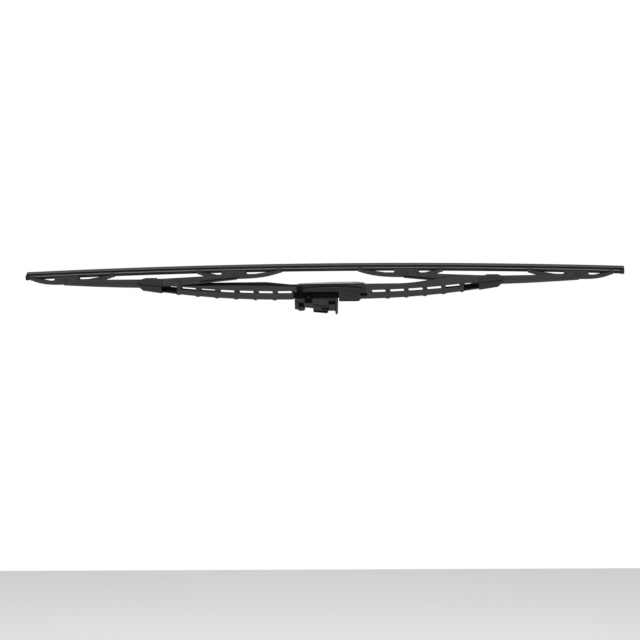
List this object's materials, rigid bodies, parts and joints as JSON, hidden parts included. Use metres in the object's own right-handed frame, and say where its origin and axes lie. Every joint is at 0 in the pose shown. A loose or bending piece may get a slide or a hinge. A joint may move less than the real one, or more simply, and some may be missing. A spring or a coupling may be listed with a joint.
{
  "type": "windscreen wiper blade",
  "caption": "Bracket wiper blade: a bridge, levers and claw yokes spread the load of a hook arm over a bowed rubber strip.",
  "frame": {"origin": "centre of the arm pin, which is the axis of the clip's round nose", "axes": "+X along the blade to its longer free tail, +Z to the wiping edge, Y across the blade along all the pivots"},
  "size_m": [0.649, 0.0234, 0.055],
  "materials": {
    "bridge_paint": "satin black powder coat",
    "lever_paint": "satin black powder coat",
    "yoke_paint": "satin black powder coat",
    "cover_plastic": "moulded, fine texture",
    "clip_plastic": "moulded, fine texture",
    "bush_plastic": "moulded",
    "blade_rubber": "matt",
    "rail_steel": "cold-rolled strip",
    "pin_steel": "plated"
  },
  "bodies": {
    "bridge": {"primary_bridge": "bridge_paint", "centre_housing": "cover_plastic", "arm_pin": "pin_steel", "joint_cover_left": "cover_plastic", "joint_cover_right": "cover_plastic", "main_rivet_left": "pin_steel", "main_rivet_right": "pin_steel", "rubber_strip": "blade_rubber", "spring_rail_front": "rail_steel", "spring_rail_rear": "rail_steel"},
    "arm_clip": {"arm_clip": "clip_plastic"},
    "lever_left": {"lever_left": "lever_paint", "main_bushes_left": "bush_plastic", "yoke_rivet_left_outer": "pin_steel", "yoke_rivet_left_inner": "pin_steel"},
    "yoke_left_outer": {"yoke_left_outer": "yoke_paint", "yoke_liners_left_outer": "bush_plastic"},
    "yoke_left_inner": {"yoke_left_inner": "yoke_paint", "yoke_liners_left_inner": "bush_plastic"},
    "lever_right": {"lever_right": "lever_paint", "main_bushes_right": "bush_plastic", "yoke_rivet_right_outer": "pin_steel", "yoke_rivet_right_inner": "pin_steel"},
    "yoke_right_outer": {"yoke_right_outer": "yoke_paint", "yoke_liners_right_outer": "bush_plastic"},
    "yoke_right_inner": {"yoke_right_inner": "yoke_paint", "yoke_liners_right_inner": "bush_plastic"}
  },
  "joints": [
    {"name": "clip_swing", "type": "hinge", "parent": "bridge", "child": "arm_clip", "pos_m": [0, 0, 0], "axis": [0, 1, 0], "range_deg": [-10, 10]},
    {"name": "lever_left_swing", "type": "hinge", "parent": "bridge", "child": "lever_left", "pos_m": [-0.1722, 0, 0.0157], "axis": [0, 1, 0], "range_deg": [-3, 3], "stiffness_Nm_per_rad": 0.5, "deforming": ["rubber_strip", "spring_rail_front", "spring_rail_rear"]},
    {"name": "yoke_left_outer_swing", "type": "hinge", "parent": "lever_left", "child": "yoke_left_outer", "pos_m": [-0.26355, 0, 0.02162], "axis": [0, 1, 0], "range_deg": [-4, 4], "stiffness_Nm_per_rad": 0.2, "deforming": ["rubber_strip", "spring_rail_front", "spring_rail_rear"]},
    {"name": "yoke_left_inner_swing", "type": "hinge", "parent": "lever_left", "child": "yoke_left_inner", "pos_m": [-0.08119, 0, 0.02559], "axis": [0, 1, 0], "range_deg": [-4, 4], "stiffness_Nm_per_rad": 0.2, "deforming": ["rubber_strip", "spring_rail_front", "spring_rail_rear"]},
    {"name": "lever_right_swing", "type": "hinge", "parent": "bridge", "child": "lever_right", "pos_m": [0.1968, 0, 0.0157], "axis": [0, 1, 0], "range_deg": [-3, 3], "stiffness_Nm_per_rad": 0.5, "deforming": ["rubber_strip", "spring_rail_front", "spring_rail_rear"]},
    {"name": "yoke_right_outer_swing", "type": "hinge", "parent": "lever_right", "child": "yoke_right_outer", "pos_m": [0.28815, 0, 0.02162], "axis": [0, 1, 0], "range_deg": [-4, 4], "stiffness_Nm_per_rad": 0.2, "deforming": ["rubber_strip", "spring_rail_front", "spring_rail_rear"]},
    {"name": "yoke_right_inner_swing", "type": "hinge", "parent": "lever_right", "child": "yoke_right_inner", "pos_m": [0.10579, 0, 0.02559], "axis": [0, 1, 0], "range_deg": [-4, 4], "stiffness_Nm_per_rad": 0.2, "deforming": ["rubber_strip", "spring_rail_front", "spring_rail_rear"]}
  ]
}
